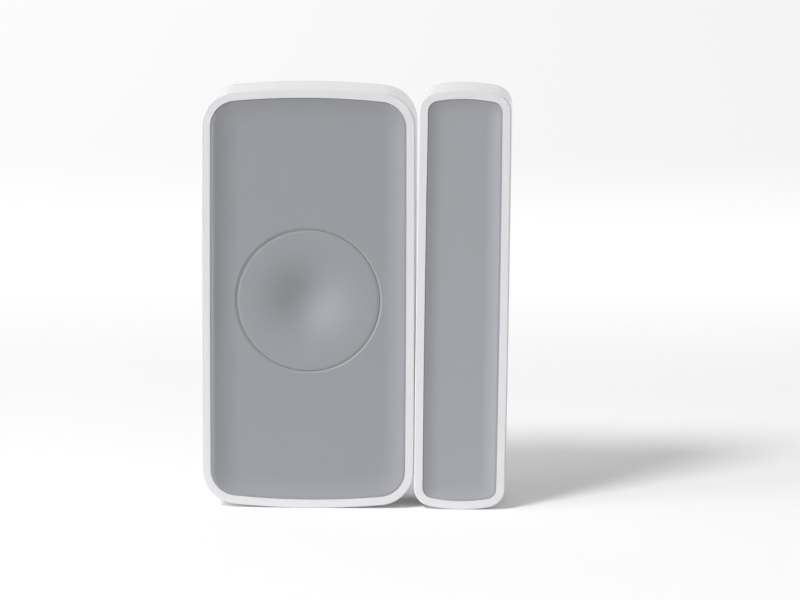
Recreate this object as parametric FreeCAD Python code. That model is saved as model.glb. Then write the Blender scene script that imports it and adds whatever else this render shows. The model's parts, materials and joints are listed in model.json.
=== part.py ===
import FreeCAD, Part
import math
import os

from FreeCAD import Vector

# Wireless door sensor: a wide sensor unit and a narrow magnet unit that stand side by side.
# Millimetres. +Z is up, -Y is the front and +X is the viewer's right.
# The origin lies under the middle of the pair, on the surface that it stands on.

# Outer form of the two units
unit_height = 75.0
unit_depth = 13.6
sensor_width = 37.84
sensor_corner = 6.25
sensor_end_bow = 1.3
magnet_unit_width = 16.38
magnet_unit_corner = 3.45
magnet_unit_end_bow = 1.2
side_bow = 0.12
pair_gap = 0.09
magnet_unit_lean = 0.58
front_edge_round = 0.25
back_edge_round = 0.9
smallest_corner = 0.4

# Shells and their joints
side_wall = 1.3
rim_width = 1.55
front_wall = 1.2
cover_plate = 1.6
parting_gap = 0.1
lip_clearance = 0.12
lip_wall = 1.0
lip_length = 1.6
snap_reach = 0.35
snap_length = 4.4
snap_thick = 0.6
snap_clearance = 0.12
snap_spread = 45.0
pry_slot_width = 7.0
pry_slot_height = 0.8

# Dished front panels
panel_gap = 0.02
panel_step = 0.2
panel_thick = 1.5
panel_lip = 0.5
tray_width = 3.6
tray_depth = 0.6
magnet_tray_width = 2.4
magnet_tray_depth = 0.4
tray_skew = 0.55
tray_sections = 8
tray_floor_corner = 2.4
tray_margin = 0.05
peg_radius = 0.8
peg_length = 1.0
peg_clearance = 0.1
peg_end_inset = 6.5
sensor_peg_x = 6.0

# Button
button_diameter = 25.24
button_drop = 0.25
button_gap = 0.06
button_bore_clearance = 0.2
button_edge_round = 0.06
button_crown_width = 0.5
button_crown_drop = 0.14
opening_fall_width = 0.5
opening_fall_drop = 0.14
opening_fall_points = 7
dimple_depth = 2.05
dimple_spread = 3.9
button_wall = 1.1
button_flange_reach = 1.0
button_flange_thick = 0.8
button_stop_clearance = 0.15
button_post_radius = 2.2
button_travel = 0.4
key_width = 1.8
key_clearance = 0.2
key_length = 1.6

# Circuit board and what holds it
board_thick = 1.0
board_edge_clearance = 0.5
board_front_y = 0.0
boss_radius = 2.4
boss_side_inset = 5.8
boss_end_inset = 9.0
screw_shank_radius = 0.95
screw_shank_length = 3.8
screw_head_radius = 1.9
screw_head_height = 1.2
screw_head_dome = 0.35
screw_recess_width = 0.5
screw_recess_length = 2.0
screw_recess_depth = 0.6
screw_board_clearance = 0.2
screw_pilot_clearance = 0.05
pin_radius = 0.8
pin_clearance = 0.12

# Push switch under the button
switch_side = 6.0
switch_height = 2.2
switch_chamfer = 0.4
switch_stem = 0.6
plunger_radius = 1.6
plunger_depth = 0.6
plunger_clearance = 0.15
plunger_end_clearance = 0.25
plunger_chamfer = 0.25
switch_pin_width = 0.7
switch_pin_thick = 0.2
switch_pin_height = 1.2
switch_pin_foot = 1.0
switch_pin_spread = 4.5

# Electronic pieces on the front of the board
shield_width = 12.0
shield_length = 14.0
shield_height = 2.0
shield_wall = 0.2
shield_corner = 0.8
shield_x = -2.0
shield_end_inset = 16.0
radio_chip_side = 5.0
radio_chip_height = 0.85
controller_side = 7.0
controller_height = 1.0
controller_x = 1.0
controller_end_inset = 15.0
chip_chamfer = 0.15
crystal_length = 8.0
crystal_width = 3.8
crystal_height = 2.6
crystal_side_round = 1.8
crystal_round = 0.4
crystal_controller_pitch = 9.2
capacitor_length = 1.6
capacitor_width = 0.8
capacitor_height = 0.7
capacitor_count = 5
capacitor_pitch = 2.2
capacitor_controller_rise = 6.5
antenna_thick = 0.3
antenna_rise = 2.6
antenna_strip_width = 0.8
antenna_pitch = 2.4
antenna_teeth = 6
antenna_depth = 2.6
antenna_end_inset = 5.7

# Reed switch on the side of the board that faces the magnet
reed_side_inset = 3.8
reed_glass_radius = 1.0
reed_glass_length = 13.0
reed_glass_wall = 0.3
reed_end_round = 0.6
reed_seal_length = 1.6
reed_height = 1.25
reed_lead_radius = 0.25
reed_lead_span = 20.0
reed_bend_radius = 0.6
reed_seal_clearance = 0.02
reed_hole_clearance = 0.15
reed_blade_width = 0.9
reed_blade_thick = 0.2
reed_blade_overlap = 0.8
reed_blade_gap = 0.1
reed_tail = 0.6

# Coin cell and its holder on the back of the board
cell_radius = 10.0
cell_thick = 3.2
cell_cap_radius = 8.6
cell_cap_rise = 0.25
cell_edge_round = 0.4
cell_clearance = 0.25
holder_wall = 1.2
holder_base = 0.4
holder_height = 3.2
holder_window_radius = 6.0
holder_gap_width = 9.0
contact_thick = 0.2
contact_width = 4.0
contact_clearance = 0.05
contact_foot = 1.6
negative_contact_radius = 5.2
negative_contact_window = 2.2

# Wall screw holes in the rear covers
wall_hole_radius = 1.75
wall_hole_end_inset = 11.5
wall_hole_sink = 0.9

# Bar magnet and its cradle
bar_width = 5.0
bar_depth = 5.0
bar_length = 32.0
bar_edge_chamfer = 0.3
bar_x = -2.5
bar_clearance = 0.1
cradle_rise = 1.5
cradle_grip = 2.4
cradle_thick = 1.5
cradle_spread = 22.0
cradle_wall = 1.4
cushion_thick = 1.2
cushion_width = 4.0
cushion_length = 25.0
press_rib_inset = 1.0

# Levels from front to back
front_y = -unit_depth / 2
back_y = unit_depth / 2
panel_face_y = front_y + panel_step
tray_floor_y = panel_face_y + tray_depth
recess_y = panel_face_y + panel_thick
cavity_y = recess_y + front_wall
cover_face_y = back_y - cover_plate
shell_end_y = cover_face_y - parting_gap
board_back_y = board_front_y + board_thick
middle_z = unit_height / 2
button_z = middle_z - button_drop
over = 1.0

# Places of the two units along X
pair_width = sensor_width + pair_gap + magnet_unit_width
sensor_x = (sensor_width - pair_width) / 2
magnet_unit_x = (pair_width - magnet_unit_width) / 2

# Button levels and radii
button_radius = button_diameter / 2
opening_radius = button_radius + button_gap
flange_front_y = cavity_y + button_stop_clearance
flange_back_y = flange_front_y + button_flange_thick
plunger_top_y = board_front_y - switch_height - switch_stem

# Places on the circuit board
boss_x = sensor_width / 2 - boss_side_inset
boss_rise = unit_height / 2 - boss_end_inset
peg_rise = unit_height / 2 - peg_end_inset
reed_x = sensor_width / 2 - reed_side_inset
shield_z = unit_height - shield_end_inset
antenna_z = unit_height - antenna_end_inset
controller_z = controller_end_inset
crystal_x = controller_x - crystal_controller_pitch
capacitor_z = controller_z + capacitor_controller_rise
wall_hole_rise = unit_height / 2 - wall_hole_end_inset

# Coin cell, from the board backwards
cell_front_y = board_back_y + holder_base + contact_thick + contact_clearance + cell_cap_rise
cell_back_y = cell_front_y + cell_thick - cell_cap_rise

# Bar magnet and its cushion
bar_left = magnet_unit_x + bar_x - bar_width / 2
bar_right = magnet_unit_x + bar_x + bar_width / 2
bar_front_y = cavity_y + cradle_rise
bar_back_y = bar_front_y + bar_depth
bar_low_z = middle_z - bar_length / 2
bar_high_z = middle_z + bar_length / 2
cushion_back_y = bar_back_y + cushion_thick


def bow_radius(half_chord, rise):
    """Radius of an arc that rises by this much over half its chord."""
    return (half_chord ** 2 + rise ** 2) / (2 * rise)


def arc(a, b, c):
    return Part.Arc(a, b, c).toShape()


def box(x0, x1, y0, y1, z0, z1):
    return Part.makeBox(x1 - x0, y1 - y0, z1 - z0, Vector(x0, y0, z0))


def rod(x, z, y0, y1, radius):
    """Round bar along Y."""
    return Part.makeCylinder(radius, y1 - y0, Vector(x, y0, z), Vector(0, 1, 0))


def fused(shapes):
    whole = shapes[0].fuse(shapes[1:])
    return whole.removeSplitter()


def edges_at(shape, y):
    """Edges that lie wholly in the plane at this depth."""
    return [e for e in shape.Edges if all(abs(v.Y - y) < 1e-6 for v in e.Vertexes)]


def turned(edges, x, z):
    """Solid turned about the line along Y through x, z."""
    face = Part.Face(Part.Wire(edges))
    solid = face.revolve(Vector(x, 0, z), Vector(0, 1, 0), 360)
    return solid if solid.Volume > 0 else solid.reversed()


def chain(points):
    return [Part.LineSegment(a, b).toShape() for a, b in zip(points, points[1:])]


class Outline:
    """Bowed oblong seen from the front: four long arcs joined by four corner arcs."""

    def __init__(self, x, width, height, corner, end_radius, side_radius):
        self.x = x
        self.width = width
        self.height = height
        self.corner = corner
        self.end_radius = end_radius
        self.side_radius = side_radius

    def inset(self, distance, corner=None):
        """The same outline moved inwards, with every arc on its old centre."""
        if corner is None:
            corner = max(self.corner - distance, smallest_corner)
        width = self.width - 2 * distance
        height = self.height - 2 * distance
        return Outline(self.x, width, height, corner, self.end_radius - distance, self.side_radius - distance)

    def corner_arc(self):
        """Start, middle and end of the upper right corner arc, from the centre of the outline."""
        end_centre = Vector(0, 0, self.height / 2 - self.end_radius)
        side_centre = Vector(self.width / 2 - self.side_radius, 0, 0)
        end_reach = self.end_radius - self.corner
        side_reach = self.side_radius - self.corner
        apart = side_centre.sub(end_centre).Length
        along = (end_reach ** 2 - side_reach ** 2 + apart ** 2) / (2 * apart)
        across = math.sqrt(end_reach ** 2 - along ** 2)
        line = side_centre.sub(end_centre).normalize()
        centre = end_centre + line * along + Vector(-line.z, 0, line.x) * -across
        if centre.x < 0 or centre.z < 0:
            centre = end_centre + line * along + Vector(-line.z, 0, line.x) * across
        start = end_centre + (centre - end_centre).normalize() * self.end_radius
        end = side_centre + (centre - side_centre).normalize() * self.side_radius
        half_way = ((start - centre) + (end - centre)).normalize()
        return start, centre + half_way * self.corner, end

    def wire(self, y):
        start, middle, end = self.corner_arc()
        top = Vector(0, 0, self.height / 2)
        right = Vector(self.width / 2, 0, 0)

        def place(point, sign_x, sign_z):
            return Vector(self.x + sign_x * point.x, y, middle_z + sign_z * point.z)

        edges = [
            arc(place(start, -1, 1), place(top, 1, 1), place(start, 1, 1)),
            arc(place(start, 1, 1), place(middle, 1, 1), place(end, 1, 1)),
            arc(place(end, 1, 1), place(right, 1, 1), place(end, 1, -1)),
            arc(place(end, 1, -1), place(middle, 1, -1), place(start, 1, -1)),
            arc(place(start, 1, -1), place(top, 1, -1), place(start, -1, -1)),
            arc(place(start, -1, -1), place(middle, -1, -1), place(end, -1, -1)),
            arc(place(end, -1, -1), place(right, -1, 1), place(end, -1, 1)),
            arc(place(end, -1, 1), place(middle, -1, 1), place(start, -1, 1)),
        ]
        return Part.Wire(edges)

    def prism(self, y0, y1):
        return Part.Face(self.wire(y0)).extrude(Vector(0, y1 - y0, 0))

    def ring(self, thick, y0, y1):
        return self.prism(y0, y1).cut(self.inset(thick).prism(y0 - over, y1 + over))


def unit_outline(x, width, corner, end_bow):
    end_radius = bow_radius(width / 2, end_bow)
    side_radius = bow_radius(unit_height / 2, side_bow)
    return Outline(x, width, unit_height, corner, end_radius, side_radius)


sensor_outline = unit_outline(sensor_x, sensor_width, sensor_corner, sensor_end_bow)
magnet_outline = unit_outline(magnet_unit_x, magnet_unit_width, magnet_unit_corner, magnet_unit_end_bow)


def snap_places():
    return [middle_z - snap_spread / 2, middle_z + snap_spread / 2]


def snap_wedge(outline, side, reach, length, thick):
    """Ridge along Z whose crest stands this far past the inner face of the side wall."""
    crest = outline.width / 2 - side_wall + reach
    root = outline.width / 2 - side_wall - lip_clearance - lip_wall / 2
    slope = crest - (outline.width / 2 - side_wall - lip_clearance)
    y = cover_face_y - lip_length / 2
    shapes = []
    for z in snap_places():
        points = [
            Vector(outline.x + side * root, y - thick / 2 - slope, z - length / 2),
            Vector(outline.x + side * (crest - slope), y - thick / 2 - slope, z - length / 2),
            Vector(outline.x + side * crest, y - thick / 2, z - length / 2),
            Vector(outline.x + side * crest, y + thick / 2, z - length / 2),
            Vector(outline.x + side * (crest - slope), y + thick / 2 + slope, z - length / 2),
            Vector(outline.x + side * root, y + thick / 2 + slope, z - length / 2),
        ]
        face = Part.Face(Part.makePolygon(points + points[:1]))
        shapes.append(face.extrude(Vector(0, 0, length)))
    return shapes


def shell(outline):
    """Moulded housing: side walls, a rim round the panel recess and a front wall behind it."""
    body = outline.prism(front_y, shell_end_y)
    body = body.makeFillet(front_edge_round, edges_at(body, front_y))
    body = body.cut(outline.inset(rim_width).prism(front_y - over, recess_y))
    body = body.cut(outline.inset(side_wall).prism(cavity_y, shell_end_y + over))
    pockets = []
    for side in (-1, 1):
        pocket_length = snap_length + 2 * snap_clearance
        pocket_thick = snap_thick + 2 * snap_clearance
        pockets += snap_wedge(outline, side, snap_reach + snap_clearance, pocket_length, pocket_thick)
    return body.cut(pockets)


def pry_slot(outline):
    """Slot under the lower end, between housing and cover, for the tool that opens the unit."""
    half = pry_slot_width / 2
    depth = side_wall - lip_clearance
    return box(outline.x - half, outline.x + half, shell_end_y - pry_slot_height, shell_end_y + over, -over, depth)


def dished_panel(outline, width, depth, kept_half_width):
    """Panel that fills the recess; its face dips from a narrow lip to a floor at least this wide."""
    edge = outline.inset(rim_width + panel_gap)
    run = min(width, edge.width / 2 - panel_lip - kept_half_width - tray_margin)
    body = edge.prism(panel_face_y, recess_y)
    sections = []
    for i in range(tray_sections + 1):
        share = i / tray_sections
        dip = depth * (1 - math.cos(math.pi * share ** tray_skew)) / 2
        lip_corner = max(edge.corner - panel_lip, smallest_corner)
        floor_corner = min(tray_floor_corner, lip_corner)
        corner = lip_corner + (floor_corner - lip_corner) * share
        section = edge.inset(panel_lip + run * share, corner)
        sections.append(section.wire(panel_face_y + dip))
    return body.cut(Part.makeLoft(sections, True, False))


def pegs(outline, places, clearance, length):
    return [rod(outline.x + x, z, recess_y, recess_y + length, peg_radius + clearance) for x, z in places]


sensor_pegs = [(x, middle_z + z) for x in (-sensor_peg_x, sensor_peg_x) for z in (-peg_rise, peg_rise)]
magnet_unit_pegs = [(0, middle_z - peg_rise), (0, middle_z + peg_rise)]
screw_places = [(-boss_x, middle_z - boss_rise), (boss_x, middle_z + boss_rise)]
pin_places = [(boss_x, middle_z - boss_rise), (-boss_x, middle_z + boss_rise)]


def key_blocks(clearance):
    """Two ribs beside the button, which stop it from turning, or their slots in its flange."""
    inner = button_radius + button_bore_clearance + key_clearance - clearance
    outer = button_radius + button_flange_reach + over
    half = key_width / 2 + clearance
    blocks = []
    for side in (-1, 1):
        low, high = sorted((button_z + side * inner, button_z + side * outer))
        blocks.append(box(sensor_x - half, sensor_x + half, cavity_y - clearance, cavity_y + key_length, low, high))
    return blocks


def sensor_housing():
    body = shell(sensor_outline)
    bore_radius = button_radius + button_bore_clearance
    cuts = [rod(sensor_x, button_z, recess_y - over, cavity_y + over, bore_radius)]
    cuts += pegs(sensor_outline, sensor_pegs, peg_clearance, front_wall + over)
    cuts.append(pry_slot(sensor_outline))
    body = body.cut(cuts)
    root_y = cavity_y - front_wall / 2
    posts = [rod(sensor_x + x, z, root_y, board_front_y, boss_radius) for x, z in screw_places + pin_places]
    posts += [rod(sensor_x + x, z, root_y, board_back_y, pin_radius) for x, z in pin_places]
    ribs = [block.common(sensor_outline.prism(cavity_y, board_front_y)) for block in key_blocks(0)]
    body = fused([body] + posts + ribs)
    pilot_y = board_back_y - screw_shank_length - screw_board_clearance
    pilot_radius = screw_shank_radius + screw_pilot_clearance
    pilots = [rod(sensor_x + x, z, pilot_y, board_front_y + over, pilot_radius) for x, z in screw_places]
    return body.cut(pilots)


def opening_fall():
    """Solid whose side falls softly from the tray's floor to the edge of the button's opening."""
    curve = []
    for i in range(opening_fall_points):
        share = i / (opening_fall_points - 1)
        drop = opening_fall_drop * (1 - math.cos(math.pi * share)) / 2
        radius = opening_radius + opening_fall_width * (1 - share)
        curve.append(Vector(sensor_x + radius, tray_floor_y + drop, button_z))
    spline = Part.BSplineCurve()
    spline.interpolate(curve)
    low = Vector(sensor_x, curve[-1].y, button_z)
    high = Vector(sensor_x, tray_floor_y - over, button_z)
    top = Vector(curve[0].x, high.y, button_z)
    edges = [spline.toShape()] + chain([curve[-1], low, high, top, curve[0]])
    return turned(Part.__sortEdges__(edges), sensor_x, button_z)


def sensor_front_panel():
    body = dished_panel(sensor_outline, tray_width, tray_depth, opening_radius + opening_fall_width)
    opening = rod(sensor_x, button_z, panel_face_y - over, recess_y + over, opening_radius)
    body = body.cut([opening, opening_fall()])
    return fused([body] + pegs(sensor_outline, sensor_pegs, 0, peg_length))


def button_face_y(radius):
    """Depth of the button's face: a round dimple in the middle and a soft fall at the edge."""
    dimple = dimple_depth * math.exp(-radius ** 2 / (2 * dimple_spread ** 2))
    past = max(0.0, radius - (button_radius - button_crown_width)) / button_crown_width
    return tray_floor_y + dimple + button_crown_drop * past ** 2


def button_curve(inner, outer, offset, count):
    """Smooth curve that follows the button's face between two radii."""
    points = []
    for i in range(count):
        radius = inner + (outer - inner) * i / (count - 1)
        points.append(Vector(sensor_x + radius, button_face_y(radius) + offset, button_z))
    spline = Part.BSplineCurve()
    spline.interpolate(points)
    return spline.toShape(), points[0], points[-1]


def button_cap():
    """Round cap with a skirt, a retaining flange behind the front wall and a post to the switch."""
    def at(radius, y):
        return Vector(sensor_x + radius, y, button_z)

    face, centre, face_end = button_curve(0, button_radius - button_edge_round, 0, 14)
    inner_radius = button_radius - button_wall
    under, under_start, under_end = button_curve(button_post_radius, inner_radius, button_wall, 9)
    bend = math.sqrt(0.5)
    edge_y = face_end.y + button_edge_round
    edge_middle = at(button_radius - button_edge_round * (1 - bend), edge_y - button_edge_round * bend)
    flange_radius = button_radius + button_flange_reach
    skirt = [
        at(button_radius, edge_y),
        at(button_radius, flange_front_y),
        at(flange_radius, flange_front_y),
        at(flange_radius, flange_back_y),
        at(inner_radius, flange_back_y),
        under_end,
    ]
    post = [under_start, at(button_post_radius, plunger_top_y), at(0, plunger_top_y), centre]
    edges = [face, arc(face_end, edge_middle, skirt[0])] + chain(skirt) + [under] + chain(post)
    return turned(Part.__sortEdges__(edges), sensor_x, button_z).cut(key_blocks(key_clearance))


def rear_cover(outline):
    """Flat back with rounded edges, a snap lip inside the housing and two wall screw holes."""
    body = outline.prism(cover_face_y, back_y)
    body = body.makeFillet(back_edge_round, edges_at(body, back_y))
    lip = outline.inset(side_wall + lip_clearance).ring(lip_wall, cover_face_y - lip_length, cover_face_y)
    ridges = []
    for side in (-1, 1):
        ridges += snap_wedge(outline, side, snap_reach, snap_length, snap_thick)
    body = fused([body, lip] + ridges)
    cuts = []
    for z in (middle_z - wall_hole_rise, middle_z + wall_hole_rise):
        cuts.append(rod(outline.x, z, cover_face_y - over, back_y + over, wall_hole_radius))
        wide = wall_hole_radius + wall_hole_sink
        start = Vector(outline.x, cover_face_y, z)
        cuts.append(Part.makeCone(wide, wall_hole_radius, wall_hole_sink, start, Vector(0, 1, 0)))
    return body.cut(cuts)


def circuit_board():
    body = sensor_outline.inset(side_wall + board_edge_clearance).prism(board_front_y, board_back_y)
    cuts = []
    for x, z in screw_places:
        cuts.append(rod(sensor_x + x, z, board_front_y - over, board_back_y + over,
                        screw_shank_radius + screw_board_clearance))
    for x, z in pin_places:
        cuts.append(rod(sensor_x + x, z, board_front_y - over, board_back_y + over, pin_radius + pin_clearance))
    for side in (-1, 1):
        z = middle_z + side * reed_lead_span / 2
        cuts.append(rod(sensor_x + reed_x, z, board_front_y - over, board_back_y + over,
                        reed_lead_radius + reed_hole_clearance))
    return body.cut(cuts)


def board_screws():
    """Two pan head screws with a cross recess; the thread is left plain."""
    screws = []
    head_y = board_back_y + screw_head_height
    for x, z in screw_places:
        tip_y = board_back_y - screw_shank_length
        shank = rod(sensor_x + x, z, tip_y, board_back_y + over / 2, screw_shank_radius)
        head = rod(sensor_x + x, z, board_back_y, head_y, screw_head_radius)
        head = head.makeFillet(screw_head_dome, edges_at(head, head_y))
        long_half = screw_recess_length / 2
        thin_half = screw_recess_width / 2
        floor_y = head_y - screw_recess_depth
        cross = []
        for half_x, half_z in ((long_half, thin_half), (thin_half, long_half)):
            low_x = sensor_x + x - half_x
            cross.append(box(low_x, low_x + 2 * half_x, floor_y, head_y + over, z - half_z, z + half_z))
        screws.append(fused([shank, head]).cut(cross))
    return Part.makeCompound(screws)


def switch_body():
    half = switch_side / 2
    top_y = board_front_y - switch_height
    body = box(sensor_x - half, sensor_x + half, top_y, board_front_y, button_z - half, button_z + half)
    body = body.makeChamfer(switch_chamfer, edges_at(body, top_y))
    well_y = top_y + plunger_depth + button_travel + plunger_end_clearance
    return body.cut(rod(sensor_x, button_z, top_y - over, well_y, plunger_radius + plunger_clearance))


def switch_plunger():
    body = rod(sensor_x, button_z, plunger_top_y, board_front_y - switch_height + plunger_depth, plunger_radius)
    return body.makeChamfer(plunger_chamfer, edges_at(body, plunger_top_y))


def switch_pins():
    """Four bent legs that stand against the sides of the switch and lie on the board."""
    pins = []
    for side_x in (-1, 1):
        for side_z in (-1, 1):
            near = switch_side / 2
            far = near + switch_pin_thick
            foot = near + switch_pin_foot
            top = board_front_y - switch_pin_height
            foot_y = board_front_y - switch_pin_thick
            low = button_z + side_z * switch_pin_spread / 2 - switch_pin_width / 2
            upright = [(near, top), (far, top), (far, foot_y)]
            flat = [(foot, foot_y), (foot, board_front_y), (near, board_front_y)]
            points = [Vector(sensor_x + side_x * x, y, low) for x, y in upright + flat]
            face = Part.Face(Part.makePolygon(points + points[:1]))
            pins.append(face.extrude(Vector(0, 0, switch_pin_width)))
    return Part.makeCompound(pins)


def block_on_board(x, z, width, length, height):
    low_x = sensor_x + x - width / 2
    low_z = z - length / 2
    return box(low_x, low_x + width, board_front_y - height, board_front_y, low_z, low_z + length)


def edges_along_y(shape):
    return [e for e in shape.Edges if abs(e.Vertexes[0].Y - e.Vertexes[-1].Y) > 1e-3]


def radio_shield():
    """Drawn can, open towards the board."""
    body = block_on_board(shield_x, shield_z, shield_width, shield_length, shield_height)
    body = body.makeFillet(shield_corner, edges_along_y(body))
    top_y = board_front_y - shield_height
    body = body.makeFillet(shield_wall, edges_at(body, top_y))
    hollow = block_on_board(shield_x, shield_z, shield_width - 2 * shield_wall, shield_length - 2 * shield_wall,
                            shield_height - shield_wall)
    hollow = hollow.makeFillet(shield_corner - shield_wall, edges_along_y(hollow))
    return body.cut(hollow)


def chip(x, z, side, height):
    body = block_on_board(x, z, side, side, height)
    return body.makeChamfer(chip_chamfer, edges_at(body, board_front_y - height))


def crystal_can():
    body = block_on_board(crystal_x, controller_z, crystal_width, crystal_length, crystal_height)
    body = body.makeFillet(crystal_side_round, edges_along_y(body))
    return body.makeFillet(crystal_round, edges_at(body, board_front_y - crystal_height))


def chip_capacitors():
    rows = []
    for i in range(capacitor_count):
        x = controller_x + (i - (capacitor_count - 1) / 2) * capacitor_pitch
        rows.append(block_on_board(x, capacitor_z, capacitor_width, capacitor_length, capacitor_height))
    return Part.makeCompound(rows)


def antenna_strip():
    """Stamped strip that runs to and fro above the board, with a leg at each end."""
    far_y = board_front_y - antenna_rise
    near_y = far_y + antenna_thick
    start_x = sensor_x - (antenna_teeth * antenna_pitch + antenna_strip_width) / 2
    wide = antenna_strip_width
    pieces = []
    for i in range(antenna_teeth + 1):
        x = start_x + i * antenna_pitch
        pieces.append(box(x, x + wide, far_y, near_y, antenna_z, antenna_z + antenna_depth))
        if i < antenna_teeth:
            z = antenna_z + (antenna_depth - wide if i % 2 == 0 else 0)
            pieces.append(box(x, x + antenna_pitch + wide, far_y, near_y, z, z + wide))
    for x in (start_x, start_x + antenna_teeth * antenna_pitch):
        pieces.append(box(x, x + wide, far_y, board_front_y, antenna_z, antenna_z + antenna_thick))
    return fused(pieces)


def reed_glass():
    """Glass tube with rounded ends, hollow round the blades and sealed onto the leads."""
    half = reed_glass_length / 2
    y = board_front_y - reed_height
    base = Vector(sensor_x + reed_x, y, middle_z - half)
    up = Vector(0, 0, 1)
    body = Part.makeCylinder(reed_glass_radius, reed_glass_length, base, up)
    ends = [e for e in body.Edges if abs(e.Length - 2 * math.pi * reed_glass_radius) < 1e-6]
    body = body.makeFillet(reed_end_round, ends)
    hollow_length = reed_glass_length - 2 * reed_seal_length
    hollow = Part.makeCylinder(reed_glass_radius - reed_glass_wall, hollow_length, base + up * reed_seal_length, up)
    bore = Part.makeCylinder(reed_lead_radius + reed_seal_clearance, reed_glass_length + 2 * over,
                             base - up * over, up)
    return body.cut([hollow, bore])


def reed_leads():
    """Two leads: a flat blade in the glass, a round wire out of it and a bend down through the board."""
    leads = []
    x = sensor_x + reed_x
    y = board_front_y - reed_height
    sealed_from = reed_glass_length / 2 - reed_seal_length
    for side in (-1, 1):
        corner_z = middle_z + side * reed_lead_span / 2
        start = Vector(x, y, middle_z + side * sealed_from)
        bend_start = Vector(x, y, corner_z - side * reed_bend_radius)
        bend_end = Vector(x, y + reed_bend_radius, corner_z)
        slant = math.sqrt(0.5)
        bend_middle = Vector(x, y + reed_bend_radius * (1 - slant), corner_z - side * reed_bend_radius * (1 - slant))
        tail = Vector(x, board_back_y + reed_tail, corner_z)
        bend = arc(bend_start, bend_middle, bend_end)
        path = Part.Wire(chain([start, bend_start]) + [bend] + chain([bend_end, tail]))
        circle = Part.Wire(Part.Circle(start, Vector(0, 0, side), reed_lead_radius).toShape())
        wire = path.makePipeShell([circle], True, False)
        blade_y = y + side * (reed_blade_gap + reed_blade_thick) / 2
        low, high = sorted((middle_z - side * reed_blade_overlap / 2, start.z))
        half_width = reed_blade_width / 2
        half_thick = reed_blade_thick / 2
        blade = box(x - half_width, x + half_width, blade_y - half_thick, blade_y + half_thick, low, high)
        leads.append(fused([wire, blade]))
    return Part.makeCompound(leads)


def coin_cell():
    """Sealed cell: the wide can faces the cover and the smaller cap faces the board."""
    can = rod(sensor_x, middle_z, cell_front_y, cell_back_y, cell_radius)
    can = can.makeFillet(cell_edge_round, edges_at(can, cell_back_y))
    cap = rod(sensor_x, middle_z, cell_front_y - cell_cap_rise, cell_front_y + over / 2, cell_cap_radius)
    return fused([can, cap])


def battery_holder():
    """Ring round the cell on a thin base, with a finger gap below and room for the side contact above."""
    inner = cell_radius + cell_clearance
    outer = inner + holder_wall
    base_y = board_back_y + holder_base
    top_y = board_back_y + holder_height
    half_gap = holder_gap_width / 2
    body = rod(sensor_x, middle_z, board_back_y, top_y, outer)
    room = contact_width / 2 + cell_clearance
    slot_low = middle_z + cell_radius - cell_clearance
    slot_high = middle_z + outer + over
    cuts = [
        rod(sensor_x, middle_z, base_y, top_y + over, inner),
        rod(sensor_x, middle_z, board_back_y - over, base_y + over, holder_window_radius),
        box(sensor_x - half_gap, sensor_x + half_gap, base_y, top_y + over, middle_z - outer - over, middle_z),
        box(sensor_x - room, sensor_x + room, board_back_y - over, top_y + over, slot_low, slot_high),
    ]
    return body.cut(cuts)


def battery_positive_contact():
    """Bent strip that stands on the board and bears on the side of the cell."""
    low = middle_z + cell_radius + contact_clearance
    half = contact_width / 2
    top = board_back_y + holder_height
    profile = [
        (low, board_back_y + contact_thick + holder_base),
        (low, top),
        (low + contact_thick, top),
        (low + contact_thick, board_back_y + contact_thick),
        (low + contact_foot, board_back_y + contact_thick),
        (low + contact_foot, board_back_y),
        (low, board_back_y),
    ]
    points = [Vector(sensor_x - half, y, z) for z, y in profile]
    face = Part.Face(Part.makePolygon(points + points[:1]))
    return face.extrude(Vector(contact_width, 0, 0))


def battery_negative_contact():
    """Round leaf on the holder's base under the cell, with a foot through its window to the board."""
    leaf_y = board_back_y + holder_base
    reach = holder_window_radius + (cell_cap_radius - holder_window_radius) / 2
    disc = rod(sensor_x, middle_z, leaf_y, leaf_y + contact_thick, reach)
    disc = disc.cut(rod(sensor_x, middle_z, leaf_y - over, leaf_y + over, negative_contact_window))
    foot = rod(sensor_x, middle_z, board_back_y, leaf_y + contact_thick, negative_contact_radius)
    foot_bore = negative_contact_radius - contact_thick
    foot = foot.cut(rod(sensor_x, middle_z, board_back_y - over, leaf_y + over, foot_bore))
    return fused([disc, foot])


def magnet_housing():
    """Narrow housing with saddles that carry the bar and a stop past each of its ends."""
    body = shell(magnet_outline)
    body = body.cut(pegs(magnet_outline, magnet_unit_pegs, peg_clearance, front_wall + over))
    body = body.cut(pry_slot(magnet_outline))
    root_y = cavity_y - front_wall / 2
    grip_y = bar_front_y + cradle_grip
    left = bar_left - bar_clearance - cradle_wall
    right = bar_right + bar_clearance + cradle_wall
    pieces = []
    for side in (-1, 1):
        z = middle_z + side * cradle_spread / 2
        pieces.append(box(left, right, root_y, grip_y, z - cradle_thick / 2, z + cradle_thick / 2))
        stop = middle_z + side * (bar_length / 2 + bar_clearance + cradle_thick / 2)
        pieces.append(box(left, right, root_y, grip_y, stop - cradle_thick / 2, stop + cradle_thick / 2))
    room = box(bar_left - bar_clearance, bar_right + bar_clearance, bar_front_y, grip_y + over,
               bar_low_z - bar_clearance, bar_high_z + bar_clearance)
    inside = magnet_outline.inset(side_wall / 2).prism(root_y, shell_end_y)
    cradle = [piece.cut(room).common(inside) for piece in pieces]
    return fused([body] + cradle)


def magnet_front_panel():
    body = dished_panel(magnet_outline, magnet_tray_width, magnet_tray_depth, panel_lip)
    return fused([body] + pegs(magnet_outline, magnet_unit_pegs, 0, peg_length))


def bar_magnet():
    body = box(bar_left, bar_right, bar_front_y, bar_back_y, bar_low_z, bar_high_z)
    return body.makeChamfer(bar_edge_chamfer, body.Edges)


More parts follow.
